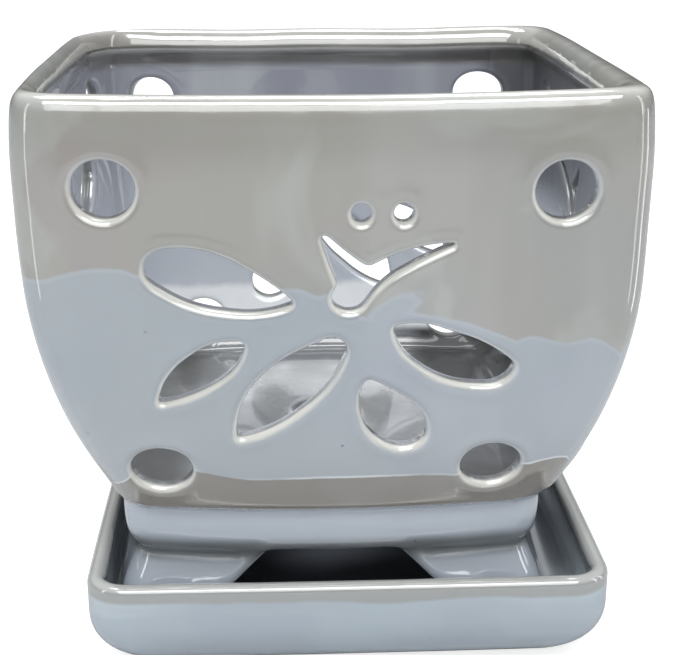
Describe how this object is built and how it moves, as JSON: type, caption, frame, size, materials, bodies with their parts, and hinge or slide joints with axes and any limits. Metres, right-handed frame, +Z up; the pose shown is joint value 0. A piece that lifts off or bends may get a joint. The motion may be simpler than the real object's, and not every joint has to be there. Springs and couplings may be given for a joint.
{
  "type": "orchid pot",
  "caption": "Square glazed orchid pot with petal-shaped slots, round air holes and bracket feet, standing in a loose square saucer.",
  "frame": {"origin": "on the surface that the saucer stands on, below the middle of the pot", "axes": "+Z up, -Y the front face that the picture shows, +X to the right"},
  "size_m": [0.1598, 0.1598, 0.1605],
  "materials": {
    "pot_glaze": "gloss",
    "saucer_glaze": "gloss"
  },
  "bodies": {
    "saucer": {"saucer": "saucer_glaze"},
    "pot": {"pot": "pot_glaze"}
  },
  "joints": [
    {"name": "pot_lift", "type": "slide", "parent": "saucer", "child": "pot", "axis": [0, 0, 1], "range_m": [0, 0.05]}
  ]
}
